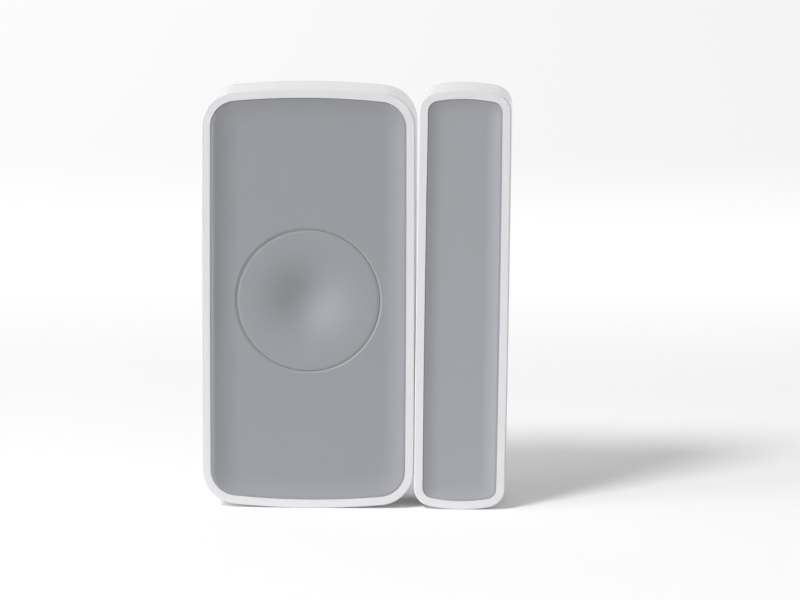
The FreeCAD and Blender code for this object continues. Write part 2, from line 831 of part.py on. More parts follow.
def magnet_cushion():
    """Foam strip between the bar and the rear cover."""
    x = magnet_unit_x + bar_x
    body = box(x - cushion_width / 2, x + cushion_width / 2, bar_back_y, cushion_back_y,
               middle_z - cushion_length / 2, middle_z + cushion_length / 2)
    return body


def magnet_rear_cover():
    body = rear_cover(magnet_outline)
    x = magnet_unit_x + bar_x
    half = cushion_width / 2
    rise = cushion_length / 2 - press_rib_inset
    root_y = cover_face_y + cover_plate / 2
    rib = box(x - half, x + half, cushion_back_y, root_y, middle_z - rise, middle_z + rise)
    return fused([body, rib])


sensor_nodes = {
    "sensor_housing": sensor_housing(),
    "sensor_front_panel": sensor_front_panel(),
    "sensor_rear_cover": rear_cover(sensor_outline),
    "button_cap": button_cap(),
    "circuit_board": circuit_board(),
    "board_screws": board_screws(),
    "button_switch_body": switch_body(),
    "button_switch_plunger": switch_plunger(),
    "button_switch_pins": switch_pins(),
    "radio_shield": radio_shield(),
    "radio_chip": chip(shield_x, shield_z, radio_chip_side, radio_chip_height),
    "microcontroller": chip(controller_x, controller_z, controller_side, controller_height),
    "crystal_can": crystal_can(),
    "chip_capacitors": chip_capacitors(),
    "antenna_strip": antenna_strip(),
    "reed_switch_glass": reed_glass(),
    "reed_switch_leads": reed_leads(),
    "coin_cell": coin_cell(),
    "battery_holder": battery_holder(),
    "battery_positive_contact": battery_positive_contact(),
    "battery_negative_contact": battery_negative_contact(),
}
magnet_nodes = {
    "magnet_housing": magnet_housing(),
    "magnet_front_panel": magnet_front_panel(),
    "magnet_rear_cover": magnet_rear_cover(),
    "bar_magnet": bar_magnet(),
    "magnet_cushion": magnet_cushion(),
}

# The narrow unit rocks a little on its bowed foot, so it leans away at the top.
rocking_centre = Vector(magnet_unit_x, 0, magnet_outline.end_radius)
for shape in magnet_nodes.values():
    shape.rotate(rocking_centre, Vector(0, 1, 0), magnet_unit_lean)

os.makedirs("parts", exist_ok=True)
for name, shape in {**sensor_nodes, **magnet_nodes}.items():
    shape.exportStep(f"parts/{name}.step")
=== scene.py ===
import json
import math

import bmesh
import bpy
import numpy as np
from mathutils import Euler, Matrix, Vector


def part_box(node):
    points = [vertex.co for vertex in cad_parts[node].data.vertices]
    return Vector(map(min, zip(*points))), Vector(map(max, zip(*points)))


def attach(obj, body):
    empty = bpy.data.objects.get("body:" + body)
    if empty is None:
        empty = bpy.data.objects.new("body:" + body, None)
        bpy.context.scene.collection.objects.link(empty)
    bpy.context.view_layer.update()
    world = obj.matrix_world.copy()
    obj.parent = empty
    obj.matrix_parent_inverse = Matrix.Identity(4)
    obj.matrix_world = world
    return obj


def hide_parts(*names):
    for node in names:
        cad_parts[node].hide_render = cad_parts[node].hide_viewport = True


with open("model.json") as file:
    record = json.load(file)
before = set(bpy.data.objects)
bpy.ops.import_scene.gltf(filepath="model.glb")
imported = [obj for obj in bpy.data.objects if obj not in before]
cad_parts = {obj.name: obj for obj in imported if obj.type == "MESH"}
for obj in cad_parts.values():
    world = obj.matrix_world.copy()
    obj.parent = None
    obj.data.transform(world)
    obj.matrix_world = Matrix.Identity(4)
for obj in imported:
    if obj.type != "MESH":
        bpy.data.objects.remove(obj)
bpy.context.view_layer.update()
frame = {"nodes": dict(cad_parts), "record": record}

mm = 0.001

# Sizes of the two units, taken from the sensor housing's packed box where they can be
low_corner, high_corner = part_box("sensor_housing")
unit_height = high_corner.z - low_corner.z
middle_z = unit_height / 2
front_y = low_corner.y
sensor_width = high_corner.x - low_corner.x
sensor_x = (high_corner.x + low_corner.x) / 2
pair_gap = 0.09 * mm
magnet_unit_width = 16.38 * mm
magnet_unit_x = sensor_x + (sensor_width + magnet_unit_width) / 2 + pair_gap
magnet_unit_lean = math.radians(0.58)
sensor_corner = 6.25 * mm
magnet_unit_corner = 3.45 * mm
least_corner = 0.4 * mm
sensor_end_bow = 1.3 * mm
magnet_unit_end_bow = 1.2 * mm
side_bow = 0.12 * mm
rim_width = 1.55 * mm
recess_y = front_y + 1.7 * mm
cavity_y = recess_y + 1.2 * mm

# Points on a quarter of each outline, and how far past a corner its close points go on
side_points = 44
corner_points = 34
end_points = 18
sensor_corner_margin = math.radians(2)
magnet_corner_margin = math.radians(1)

# Dished panels
panel_gap = 0.02 * mm
panel_face_y = front_y + 0.2 * mm
panel_edge_round = 0.05 * mm
panel_edge_steps = 5
panel_lip = 0.3 * mm
panel_lift = 0.17 * mm
tray_width = 3.6 * mm
tray_depth = 0.6 * mm
magnet_tray_width = 2.4 * mm
magnet_tray_depth = 0.4 * mm
tray_skew = 0.55
tray_floor_corner = 2.4 * mm
tray_floor_y = panel_face_y + tray_depth
tray_rings = 28

# Where the panels' lips change, each from here to there
top_change = (0.78, 0.94)            # shares of the half height
magnet_left_change = (0.2, 0.6)      # shares of the half width
left_lip_change = (0.5, 0.75)        # shares of the half width
beside_button = (2 * mm, 10 * mm)    # distances up or down from the button's axis
beside_button_ease = 0.75
left_lip_extra = 0.4 * mm

# Button, with the opening that it fills
button_radius = 12.62 * mm
button_drop = 0.25 * mm
opening_radius = button_radius + 0.06 * mm
opening_fall_width = 0.5 * mm
opening_fall_drop = 0.14 * mm
opening_fall_steps = 12
button_edge_round = 0.06 * mm
button_edge_steps = 6
button_crown_width = 0.5 * mm
button_crown_drop = 0.14 * mm
dimple_depth = 2.05 * mm
dimple_spread = 3.9 * mm
button_wall = 1.1 * mm
button_steps = 192
button_face_rings = 70
button_inside_rings = 12
flange_radius = button_radius + 1.0 * mm
flange_front_y = cavity_y + 0.15 * mm
flange_back_y = flange_front_y + 0.8 * mm
post_radius = 2.2 * mm
post_end_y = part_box("button_switch_plunger")[0].y

# Locating pegs behind the panels
peg_radius = 0.8 * mm
peg_length = 1.0 * mm
peg_root = 0.2 * mm
peg_sides = 32
peg_end_inset = 6.5 * mm
peg_rise = middle_z - peg_end_inset
sensor_peg_x = 6.0 * mm

# Meshes
edge_hold = 0.02 * mm                # short flat that keeps a rounded edge's shading off the wall beside it
weld_distance = 0.0001 * mm
crease_angle = math.radians(38)      # two faces that turn less than this shade as one surface


def bow_radius(half_chord, rise):
    """Radius of an arc that rises this far over this half chord."""
    return (half_chord ** 2 + rise ** 2) / (2 * rise)


class Unit:
    """One of the two units: a bowed oblong with rounded corners, seen from the front."""

    def __init__(self, x, width, corner, end_bow, lean, corner_margin):
        self.x = x
        self.half_width = width / 2
        self.half_height = unit_height / 2
        self.corner = corner
        self.end_radius = bow_radius(width / 2, end_bow)
        self.side_radius = bow_radius(unit_height / 2, side_bow)
        self.lean = lean
        self.angles = self.ray_angles(corner_margin)

    def corner_arc(self, inset, corner):
        """For the outline moved inwards by inset: the centres of its end, its side and its corner arc,
        and the corner arc's two ends."""
        end_radius = self.end_radius - inset
        side_radius = self.side_radius - inset
        end_centre = np.array([0, self.half_height - self.end_radius])
        side_centre = np.array([self.half_width - self.side_radius, 0])
        end_reach = end_radius - corner
        side_reach = side_radius - corner
        line = side_centre - end_centre
        apart = np.hypot(*line)
        line /= apart
        along = (end_reach ** 2 - side_reach ** 2 + apart ** 2) / (2 * apart)
        across = math.sqrt(end_reach ** 2 - along ** 2)
        foot = end_centre + line * along
        square = np.array([-line[1], line[0]])
        centre = max((foot + square * across, foot - square * across), key=lambda p: min(p))
        start = end_centre + (centre - end_centre) / end_reach * end_radius
        end = side_centre + (centre - side_centre) / side_reach * side_radius
        return end_centre, side_centre, centre, start, end

    def ray_angles(self, corner_margin):
        """Directions from the middle, all round, closer together where the corners are."""
        start, end = self.corner_arc(0, self.corner)[3:]
        side_end = math.atan2(end[1], end[0]) - corner_margin
        end_start = math.atan2(start[1], start[0]) + corner_margin
        quarter = np.concatenate([
            np.linspace(0, side_end, side_points, endpoint=False),
            np.linspace(side_end, end_start, corner_points, endpoint=False),
            np.linspace(end_start, math.pi / 2, end_points, endpoint=False),
        ])
        half = np.concatenate([quarter, [math.pi / 2], math.pi - quarter[::-1]])[:-1]
        return np.concatenate([half, half + math.pi])

    def ring(self, inset, y, corner=None):
        """Loop of points on the outline moved inwards by inset, at depth y."""
        if corner is None:
            corner = max(self.corner - inset, least_corner)
        end_centre, side_centre, centre, start, end = self.corner_arc(inset, corner)
        side_end = math.atan2(end[1], end[0])
        end_start = math.atan2(start[1], start[0])
        points = []
        for angle in self.angles:
            x = abs(math.cos(angle))
            z = abs(math.sin(angle))
            steep = math.atan2(z, x)
            if steep < side_end:
                hub, radius = side_centre, self.side_radius - inset
            elif steep > end_start:
                hub, radius = end_centre, self.end_radius - inset
            else:
                hub, radius = centre, corner
            to_hub = x * hub[0] + z * hub[1]
            reach = to_hub + math.sqrt(to_hub * to_hub - hub @ hub + radius ** 2)
            points.append((reach * math.cos(angle), y, reach * math.sin(angle)))
        return np.array(points)

    def circle(self, radius, y):
        """Loop of points on a circle round the button's axis, in the same directions."""
        x = radius * np.cos(self.angles)
        z = radius * np.sin(self.angles) - button_drop
        return np.stack([x, np.full(len(self.angles), y), z], 1)

    def place(self, points):
        """From the unit's own middle to its place, with its lean about the centre of its bowed foot."""
        points = np.array(points, float)
        rise = points[:, 2] + self.half_height - self.end_radius
        x = points[:, 0] * math.cos(self.lean) + rise * math.sin(self.lean)
        z = -points[:, 0] * math.sin(self.lean) + rise * math.cos(self.lean)
        return np.stack([x + self.x, points[:, 1], z + self.end_radius + low_corner.z], 1)


sensor = Unit(sensor_x, sensor_width, sensor_corner, sensor_end_bow,
              lean=0, corner_margin=sensor_corner_margin)
magnet = Unit(magnet_unit_x, magnet_unit_width, magnet_unit_corner, magnet_unit_end_bow,
              lean=magnet_unit_lean, corner_margin=magnet_corner_margin)


def mesh_object(name, points, faces):
    """New object at the origin, with its place in its mesh."""
    mesh = bpy.data.meshes.new(name)
    mesh.from_pydata([tuple(point) for point in points], [], faces)
    mesh.update()
    obj = bpy.data.objects.new(name, mesh)
    bpy.context.scene.collection.objects.link(obj)
    return obj


def close_up(obj):
    """Merges doubled points, turns the faces outwards and shades them smooth."""
    shape = bmesh.new()
    shape.from_mesh(obj.data)
    bmesh.ops.remove_doubles(shape, verts=shape.verts, dist=weld_distance)
    bmesh.ops.recalc_face_normals(shape, faces=shape.faces)
    shape.to_mesh(obj.data)
    shape.free()
    for face in obj.data.polygons:
        face.use_smooth = True
    return obj


def skin(name, unit, rings, loop=False):
    """Surface through loops of points. One point alone is a pole, and loop joins the last to the first."""
    points = []
    starts = []
    for ring in rings:
        starts.append(len(points))
        points += [tuple(point) for point in unit.place(ring)]
    count = len(unit.angles)
    faces = []
    pairs = list(zip(range(len(rings)), range(1, len(rings))))
    if loop:
        pairs.append((len(rings) - 1, 0))
    for a, b in pairs:
        for i in range(count):
            j = (i + 1) % count
            if len(rings[a]) == 1:
                faces.append((starts[a], starts[b] + i, starts[b] + j))
            elif len(rings[b]) == 1:
                faces.append((starts[a] + i, starts[b], starts[a] + j))
            else:
                faces.append((starts[a] + i, starts[b] + i, starts[b] + j, starts[a] + j))
    return close_up(mesh_object(name, points, faces))


def rounded(inset0, y0, inset1, y1, steps, outward=True):
    """Quarter round between two places of a profile. It leaves along Y and arrives along the inset, or
    the other way round where it isn't outward."""
    places = []
    for i in range(steps + 1):
        turn = math.pi / 2 * i / steps
        inset_share, y_share = 1 - math.cos(turn), math.sin(turn)
        if not outward:
            inset_share, y_share = y_share, inset_share
        places.append((inset0 + (inset1 - inset0) * inset_share, y0 + (y1 - y0) * y_share))
    return places


def eased(values, start, end):
    """Rise from 0 at start to 1 at end with no kink."""
    share = np.clip((values - start) / (end - start), 0, 1)
    return share * share * (3 - 2 * share)


def lip_lift(unit, ring, left_side):
    """How far a panel's lip comes forward: nearly flush with the rim at the foot and the sides, a step
    behind it at the top. Without left_side it stays a step behind at the left too."""
    at_top = eased(ring[:, 2] / unit.half_height, *top_change)
    at_left = 0 if left_side else eased(-ring[:, 0] / unit.half_width, *magnet_left_change)
    return panel_lift * (1 - at_top) * (1 - at_left)


def left_lip(unit, ring, share):
    """How much wider the sensor panel's lip is along its left side. Its slope is wider there too, but
    not beside the button, where it would reach the opening."""
    straight = 1 - eased(np.abs(ring[:, 2]) / unit.half_height, *top_change)
    off_button = eased(np.abs(ring[:, 2] + button_drop), *beside_button)
    reach = (1 + share) * off_button + (1 - beside_button_ease * share) * (1 - off_button)
    at_left = eased(-ring[:, 0] / unit.half_width, *left_lip_change)
    return left_lip_extra * reach * at_left * straight


def panel(name, unit, width, depth, with_opening):
    """Panel with a narrow lip, a soft slope and a flat floor. Its back is flat."""
    edge = rim_width + panel_gap
    lip_corner = unit.corner - edge - panel_lip
    floor_corner = min(tray_floor_corner, lip_corner)
    round_start_y = panel_face_y + panel_edge_round
    profile = [(edge, recess_y), (edge, round_start_y + edge_hold)]
    profile += rounded(edge, round_start_y, edge + panel_edge_round, panel_face_y, panel_edge_steps)
    rings = [unit.ring(inset, y) for inset, y in profile]
    for ring in rings[1:]:
        ring[:, 1] -= lip_lift(unit, ring, with_opening)
    for i in range(tray_rings + 1):
        share = i / tray_rings
        dip = depth * (1 - math.cos(math.pi * share ** tray_skew)) / 2
        corner = lip_corner + (floor_corner - lip_corner) * share
        ring = unit.ring(edge + panel_lip + width * share, panel_face_y + dip, corner)
        ring[:, 1] -= lip_lift(unit, ring, with_opening) * (1 - share)
        if with_opening:
            ring[:, 0] += left_lip(unit, ring, share)
        rings.append(ring)
    if with_opening:
        for i in range(opening_fall_steps + 1):
            share = i / opening_fall_steps
            radius = opening_radius + opening_fall_width * (1 - share)
            drop = opening_fall_drop * (1 - math.cos(math.pi * share)) / 2
            rings.append(unit.circle(radius, tray_floor_y + drop))
        rings.append(unit.circle(opening_radius, recess_y))
        return skin(name, unit, rings, loop=True)
    halfway_in = rings[-1] * (0.5, 1, 0.5)
    front_middle = np.array([(0, panel_face_y + depth, 0)])
    back_middle = np.array([(0, recess_y, 0)])
    return skin(name, unit, [back_middle] + rings + [halfway_in, front_middle])


def linear(hex_colour):
    """sRGB hex to linear colour, by the standard curve."""
    channels = [int(hex_colour[i:i + 2], 16) / 255 for i in (1, 3, 5)]
    return tuple(c / 12.92 if c <= 0.04045 else ((c + 0.055) / 1.055) ** 2.4 for c in channels) + (1.0,)


def put(tree, kind, inputs=None, **settings):
    """Adds a node. Its inputs, by name or number, take a value, a socket or a node's first output. A Mix
    node's colours are its inputs 6 and 7 and its output 2."""
    node = tree.nodes.new(kind)
    for key, value in settings.items():
        setattr(node, key, value)
    for key, value in (inputs or {}).items():
        if isinstance(value, bpy.types.Node):
            value = value.outputs[0]
        if isinstance(value, bpy.types.NodeSocket):
            tree.links.new(value, node.inputs[key])
        else:
            node.inputs[key].default_value = value
    return node


def empty_material(name):
    """New material, and its node tree with nothing in it."""
    material = bpy.data.materials.new(name)
    material.use_nodes = True
    material.node_tree.nodes.clear()
    return material, material.node_tree


# Patterns of the materials, where one pixel of the photograph's view is 0.18 mm on the object
colour_cloud = 16.7 * mm             # slow changes of colour, as flow in a mould leaves them
gloss_change = 0.2                   # share by which the gloss of a plated piece changes
glass_wave = 2 * mm
glass_wave_height = 0.01 * mm

# Painted light: the magnet unit's panel is drawn a lighter grey for the extra light that its face catches.
# The change-over lies on the white rim beside the slot between the units, where no grey shows
painted_light_change_x = (10.2 * mm, 10.6 * mm)


def grained(name, colour, shade, roughness, grain, grain_depth, magnet_painted_light_colour=None):
    """Plastic, solder mask, ceramic or foam: slow changes of colour, and a fine grain in the surface."""
    material, tree = empty_material(name)
    place = put(tree, "ShaderNodeTexCoord").outputs["Object"]
    cloud = put(tree, "ShaderNodeTexNoise", {"Vector": place, "Scale": 1 / colour_cloud, "Detail": 2.0})
    tint = put(tree, "ShaderNodeMix", {0: cloud, 6: linear(colour), 7: linear(shade)}, data_type="RGBA")
    # Painted light: beyond the slot the grey turns to the magnet unit's lighter one
    if magnet_painted_light_colour:
        across = put(tree, "ShaderNodeSeparateXYZ", {"Vector": place}).outputs["X"]
        painted_light_beyond_slot = put(tree, "ShaderNodeMapRange", {
            "Value": across, "From Min": painted_light_change_x[0], "From Max": painted_light_change_x[1]})
        tint = put(tree, "ShaderNodeMix", {
            0: painted_light_beyond_slot, 6: tint.outputs[2], 7: linear(magnet_painted_light_colour)}, data_type="RGBA")
    fine = put(tree, "ShaderNodeTexNoise", {
        "Vector": place, "Scale": 1 / grain, "Detail": 3.0, "Roughness": 0.6})
    relief = put(tree, "ShaderNodeBump", {"Height": fine, "Distance": grain_depth, "Strength": 1.0})
    shader = put(tree, "ShaderNodeBsdfPrincipled", {
        "Base Color": tint.outputs[2], "Roughness": roughness, "Normal": relief})
    put(tree, "ShaderNodeOutputMaterial", {"Surface": shader})
    return material


def plated(name, colour, roughness, grain):
    """Plated metal with faint spots of duller and brighter gloss."""
    material, tree = empty_material(name)
    place = put(tree, "ShaderNodeTexCoord").outputs["Object"]
    fine = put(tree, "ShaderNodeTexNoise", {"Vector": place, "Scale": 1 / grain, "Detail": 2.0})
    gloss = put(tree, "ShaderNodeMapRange", {
        "Value": fine, "To Min": roughness * (1 - gloss_change), "To Max": roughness * (1 + gloss_change)})
    shader = put(tree, "ShaderNodeBsdfPrincipled", {
        "Base Color": linear(colour), "Metallic": 1.0, "Roughness": gloss})
    put(tree, "ShaderNodeOutputMaterial", {"Surface": shader})
    return material


def drawn_glass(name, colour):
    """Clear glass with slow waves in its surface."""
    material, tree = empty_material(name)
    place = put(tree, "ShaderNodeTexCoord").outputs["Object"]
    wave = put(tree, "ShaderNodeTexNoise", {"Vector": place, "Scale": 1 / glass_wave, "Detail": 1.0})
    relief = put(tree, "ShaderNodeBump", {"Height": wave, "Distance": glass_wave_height})
    shader = put(tree, "ShaderNodeBsdfPrincipled", {
        "Base Color": linear(colour), "Roughness": 0.03, "IOR": 1.5, "Transmission Weight": 1.0,
        "Normal": relief})
    put(tree, "ShaderNodeOutputMaterial", {"Surface": shader})
    return material


# White ABS, injection moulded in a polished tool: clean soft highlights along the rims on an even white.
# Polishing marks a few microns wide are drawn at 0.12 mm, as coarse as they need to show close up.
white_abs = grained("white_abs_moulded", colour="#e7e7e9", shade="#e4e4e6",
                    roughness=0.12, grain=0.12 * mm, grain_depth=0.0004 * mm)

# Grey ABS with a soft touch, moulded in a spark-textured tool: an even sheen with no sharp highlight, so
# that the dish reads by its shading alone. Such a texture's usual grain is 0.12 mm. The magnet unit's
# panel is drawn a shade lighter, as painted light for the extra light that its face catches.
grey_soft = grained("grey_soft_touch_moulded", colour="#9a9ba0", shade="#98999e",
                    roughness=0.55, grain=0.12 * mm, grain_depth=0.0015 * mm, magnet_painted_light_colour="#a1a2a7")

# Solder mask, printed and cured over glass-cloth laminate: green, half gloss, and faintly uneven with the
# cloth's weave of 0.3 mm.
board_green = grained("board_solder_mask", colour="#1f5a34", shade="#1b5230",
                      roughness=0.35, grain=0.3 * mm, grain_depth=0.002 * mm)

# Black epoxy and nylon, moulded in a blasted tool: chips, switch and cell holder stay dark with a dull
# sheen. Their grain of some 0.02 mm is drawn at 0.1 mm, so that it shows close up.
black_moulded = grained("black_package_moulded", colour="#1a1a1c", shade="#161618",
                        roughness=0.5, grain=0.1 * mm, grain_depth=0.002 * mm)

# Polyurethane foam, cut from an open-cell block: dark and without gloss, broken up by cells of 0.4 mm.
foam_grey = grained("foam_open_cell", colour="#3a3a3c", shade="#303032",
                    roughness=0.9, grain=0.4 * mm, grain_depth=0.05 * mm)

# Capacitor ceramic, pressed and fired: a warm tan with an eggshell gloss. Its grain of a few microns is
# drawn at 0.1 mm, so that it shows close up.
ceramic_tan = grained("capacitor_ceramic", colour="#b59a78", shade="#ab906e",
                      roughness=0.4, grain=0.1 * mm, grain_depth=0.002 * mm)

# Tin plate on rolled sheet steel: a soft grey-white shine. Rolling marks of some 0.05 mm are drawn as
# spots of 0.3 mm, so that they show.
tin = plated("tin_plated_sheet", colour="#c4c4c0", roughness=0.3, grain=0.3 * mm)

# Bright nickel, plated on the coin cell's can and the bar magnet: clear reflections, made a little uneven
# by waves of 0.5 mm in the plating.
nickel = plated("bright_nickel", colour="#d0d0ce", roughness=0.16, grain=0.5 * mm)

# Soda-lime glass, drawn into a thin tube: clear and slightly green, and its 2 mm waves bend what lies
# behind it.
reed_glass = drawn_glass("reed_glass_drawn", colour="#cfe6d8")

slot_materials = {
    "white_shell": white_abs,
    "grey_face": grey_soft,
    "board": board_green,
    "black_plastic": black_moulded,
    "plated_steel": tin,
    "cell_steel": nickel,
    "reed_glass": reed_glass,
    "ceramic_chip": ceramic_tan,
    "foam": foam_grey,
}


def dress(obj, material):
    """Gives an object this one material."""
    obj.data.materials.clear()
    obj.data.materials.append(material)


def size_tree(name, sizes):
    """Geometry Nodes tree with a mesh in, a mesh out and these named sizes, and its input sockets."""
    tree = bpy.data.node_groups.new(name, "GeometryNodeTree")
    tree.interface.new_socket("Geometry", in_out="INPUT", socket_type="NodeSocketGeometry")
    for key, value in sizes.items():
        kind = "NodeSocketInt" if isinstance(value, int) else "NodeSocketFloat"
        tree.interface.new_socket(key, in_out="INPUT", socket_type=kind)
    tree.interface.new_socket("Geometry", in_out="OUTPUT", socket_type="NodeSocketGeometry")
    return tree, tree.nodes.new("NodeGroupInput").outputs


def end_tree(tree, geometry, material):
    """Ends a tree: real meshes in place of instances, and their material."""
    real = put(tree, "GeometryNodeRealizeInstances", {"Geometry": geometry})
    dressed = put(tree, "GeometryNodeSetMaterial", {"Geometry": real, "Material": material})
    put(tree, "NodeGroupOutput", {"Geometry": dressed})


def grow(obj, tree, sizes):
    """Runs a tree on an object with these sizes and keeps what comes out as the object's plain mesh."""
    modifier = obj.modifiers.new(tree.name, "NODES")
    modifier.node_group = tree
    for socket in tree.interface.items_tree:
        if socket.in_out == "INPUT" and socket.name in sizes:
            modifier[socket.identifier] = sizes[socket.name]
    grown = obj.evaluated_get(bpy.context.evaluated_depsgraph_get())
    mesh = bpy.data.meshes.new_from_object(grown)
    obj.modifiers.remove(modifier)
    obj.data = mesh
    return obj


button_sizes = {
    "Steps": button_steps, "Rings": 1, "Radius": button_radius, "Dimple Depth": dimple_depth,
    "Dimple Spread": dimple_spread, "Crown Width": button_crown_width, "Crown Drop": button_crown_drop,
    "Axis X": sensor_x, "Axis Z": low_corner.z + middle_z - button_drop,
}


def dimpled_cap_tree(material):
    """Turns a profile about the button's axis and sinks its face by the rule of the dimple and the
    crown. The points that come in hold their radius, their depth and, as 1 or 0, whether they sink."""
    tree, size = size_tree("dimpled_cap", button_sizes)

    # A grid with a row for each point of the profile and a column for each step round the axis
    around = put(tree, "ShaderNodeMath", {0: size["Steps"], 1: 1.0}, operation="ADD")
    grid = put(tree, "GeometryNodeMeshGrid", {"Vertices X": size["Rings"], "Vertices Y": around})
    number = put(tree, "GeometryNodeInputIndex")
    rows = put(tree, "ShaderNodeMath", {0: number, 1: around}, operation="DIVIDE")
    row = put(tree, "ShaderNodeMath", {0: rows}, operation="FLOOR")
    row_start = put(tree, "ShaderNodeMath", {0: row, 1: around}, operation="MULTIPLY")
    step = put(tree, "ShaderNodeMath", {0: number, 1: row_start}, operation="SUBTRACT")
    turned = put(tree, "ShaderNodeMath", {0: step, 1: 2 * math.pi}, operation="MULTIPLY")
    angle = put(tree, "ShaderNodeMath", {0: turned, 1: size["Steps"]}, operation="DIVIDE")
    position = put(tree, "GeometryNodeInputPosition")
    spot = put(tree, "GeometryNodeSampleIndex", {
        "Geometry": size["Geometry"], "Value": position, "Index": row},
        data_type="FLOAT_VECTOR", domain="POINT")
    reach, level, follow = put(tree, "ShaderNodeSeparateXYZ", {0: spot}).outputs

    # The dimple is a bell over the radius
    spread = put(tree, "ShaderNodeMath", {0: reach, 1: size["Dimple Spread"]}, operation="DIVIDE")
    squared = put(tree, "ShaderNodeMath", {0: spread, 1: spread}, operation="MULTIPLY")
    halved = put(tree, "ShaderNodeMath", {0: squared, 1: -0.5}, operation="MULTIPLY")
    bell = put(tree, "ShaderNodeMath", {0: halved}, operation="EXPONENT")
    dimple = put(tree, "ShaderNodeMath", {0: bell, 1: size["Dimple Depth"]}, operation="MULTIPLY")

    # The crown falls with the square of the distance past the flat
    flat = put(tree, "ShaderNodeMath", {0: size["Radius"], 1: size["Crown Width"]}, operation="SUBTRACT")
    beyond = put(tree, "ShaderNodeMath", {0: reach, 1: flat}, operation="SUBTRACT")
    share = put(tree, "ShaderNodeMath", {0: beyond, 1: size["Crown Width"]}, operation="DIVIDE")
    past = put(tree, "ShaderNodeMath", {0: share, 1: 0.0}, operation="MAXIMUM")
    past_squared = put(tree, "ShaderNodeMath", {0: past, 1: past}, operation="MULTIPLY")
    crown = put(tree, "ShaderNodeMath", {0: past_squared, 1: size["Crown Drop"]}, operation="MULTIPLY")

    # Each point at its place round the axis
    both = put(tree, "ShaderNodeMath", {0: dimple, 1: crown}, operation="ADD")
    sink = put(tree, "ShaderNodeMath", {0: both, 1: follow}, operation="MULTIPLY")
    y = put(tree, "ShaderNodeMath", {0: level, 1: sink}, operation="ADD")
    cosine = put(tree, "ShaderNodeMath", {0: angle}, operation="COSINE")
    sine = put(tree, "ShaderNodeMath", {0: angle}, operation="SINE")
    across = put(tree, "ShaderNodeMath", {0: reach, 1: cosine}, operation="MULTIPLY")
    upward = put(tree, "ShaderNodeMath", {0: reach, 1: sine}, operation="MULTIPLY")
    x = put(tree, "ShaderNodeMath", {0: across, 1: size["Axis X"]}, operation="ADD")
    z = put(tree, "ShaderNodeMath", {0: upward, 1: size["Axis Z"]}, operation="ADD")
    place = put(tree, "ShaderNodeCombineXYZ", {"X": x, "Y": y, "Z": z})
    cap = put(tree, "GeometryNodeSetPosition", {"Geometry": grid, "Position": place})
    closed = put(tree, "GeometryNodeMergeByDistance", {"Geometry": cap, "Distance": weld_distance})
    end_tree(tree, closed, material)
    return tree


def button():
    """Round cap: dimpled face, soft edge, skirt, flange and the post that meets the switch."""
    face_end = button_radius - button_edge_round
    inner_radius = button_radius - button_wall
    inside_y = tray_floor_y + button_wall
    face_share = (1 - button_edge_round / button_crown_width) ** 2
    edge_y = tray_floor_y + button_crown_drop * face_share
    round_end_y = edge_y + button_edge_round
    # Each place holds its radius, its depth and, as 1 or 0, whether it sinks with the dimple and the crown
    profile = []
    for i in range(button_face_rings + 1):
        profile.append((face_end * i / button_face_rings, tray_floor_y, 1.0))
    edge = rounded(face_end, edge_y, button_radius, round_end_y, button_edge_steps, outward=False)
    for radius, y in edge[1:]:
        profile.append((radius, y, 0.0))
    profile += [
        (button_radius, round_end_y + edge_hold, 0.0),
        (button_radius, flange_front_y, 0.0),
        (flange_radius, flange_front_y, 0.0),
        (flange_radius, flange_back_y, 0.0),
        (inner_radius, flange_back_y, 0.0),
    ]
    for i in range(button_inside_rings + 1):
        radius = inner_radius + (post_radius - inner_radius) * i / button_inside_rings
        profile.append((radius, inside_y, 1.0))
    profile += [(post_radius, post_end_y, 0.0), (0, post_end_y, 0.0)]
    base = mesh_object("button_cap_turned", profile, [])
    sizes = dict(button_sizes, Rings=len(profile))
    return close_up(grow(base, dimpled_cap_tree(grey_soft), sizes))


peg_sizes = {"Peg Radius": peg_radius, "Peg Length": peg_length, "Root": peg_root, "Start": recess_y}


def peg_tree(material):
    """Puts a round locating peg at each point that comes in, with its root in the panel."""
    tree, size = size_tree("panel_pegs", peg_sizes)
    length = put(tree, "ShaderNodeMath", {0: size["Peg Length"], 1: size["Root"]}, operation="ADD")
    half = put(tree, "ShaderNodeMath", {0: length, 1: 0.5}, operation="MULTIPLY")
    half_on = put(tree, "ShaderNodeMath", {0: size["Start"], 1: half}, operation="ADD")
    middle = put(tree, "ShaderNodeMath", {0: half_on, 1: size["Root"]}, operation="SUBTRACT")
    shift = put(tree, "ShaderNodeCombineXYZ", {"Y": middle})
    peg = put(tree, "GeometryNodeMeshCylinder", {
        "Vertices": peg_sides, "Radius": size["Peg Radius"], "Depth": length})
    points = put(tree, "GeometryNodeMeshToPoints", {"Mesh": size["Geometry"]})
    pegs = put(tree, "GeometryNodeInstanceOnPoints", {
        "Points": points, "Instance": peg, "Rotation": (math.pi / 2, 0, 0)})
    placed = put(tree, "GeometryNodeTranslateInstances", {
        "Instances": pegs, "Translation": shift, "Local Space": False})
    end_tree(tree, placed, material)
    return tree


def with_pegs(face, unit, places):
    """Adds the locating pegs to a panel, as in one moulding."""
    points = unit.place([(x, 0, z) for x, z in places])
    base = mesh_object(face.name + "_pegs", points, [])
    pegs = grow(base, peg_tree(grey_soft), peg_sizes)
    shape = bmesh.new()
    shape.from_mesh(face.data)
    shape.from_mesh(pegs.data)
    bpy.data.objects.remove(pegs)
    shape.to_mesh(face.data)
    shape.free()
    return split_by_angle(face)


